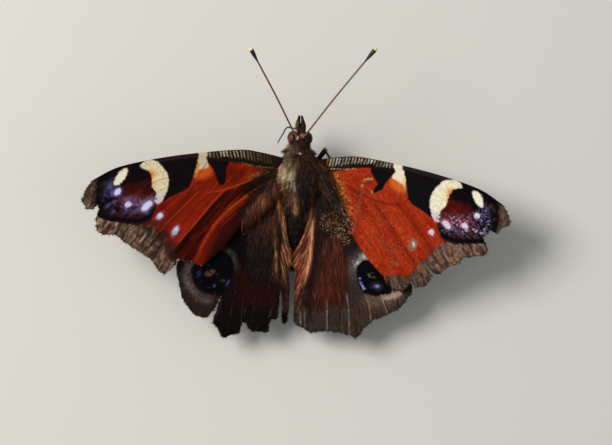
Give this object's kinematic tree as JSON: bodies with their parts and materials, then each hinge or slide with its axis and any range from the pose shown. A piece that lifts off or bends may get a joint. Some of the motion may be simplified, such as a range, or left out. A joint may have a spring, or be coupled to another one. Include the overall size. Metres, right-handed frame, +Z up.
{
  "type": "peacock butterfly",
  "caption": "Standing butterfly with its wings spread flat, thin veined wings with worn and torn outer edges, clubbed feelers and slender legs; a still, life-size museum-type model",
  "frame": {"origin": "on the floor, at the centre of the footprint of the whole animal, wings and feelers included", "axes": "+X to the animal's right, along the wing span, its longest extent; +Y towards its head; +Z up off the floor, its shortest extent"},
  "size_m": [0.0602, 0.0413, 0.0176],
  "materials": {
    "fur": "soft brown hair with golden-olive and copper tips",
    "chitin": "dark brown body shell with a slight sheen",
    "eye": "glossy dark red-brown compound eye",
    "wing_red": "brick-red scales with black, cream and violet marks",
    "wing_dark": "dark brown scales with rust and a violet-blue eye mark"
  },
  "bodies": {
    "root": {"head": "fur", "thorax": "fur", "abdomen": "fur", "eye_left": "eye", "eye_right": "eye", "palp_left": "fur", "palp_right": "fur", "antenna_left": "chitin", "antenna_right": "chitin", "proboscis": "chitin", "wing_fore_left": "wing_red", "wing_fore_right": "wing_red", "wing_hind_left": "wing_dark", "wing_hind_right": "wing_dark", "leg_fore_left": "fur", "leg_fore_right": "fur", "leg_mid_left": "chitin", "leg_mid_right": "chitin", "leg_hind_left": "chitin", "leg_hind_right": "chitin"}
  },
  "joints": []
}
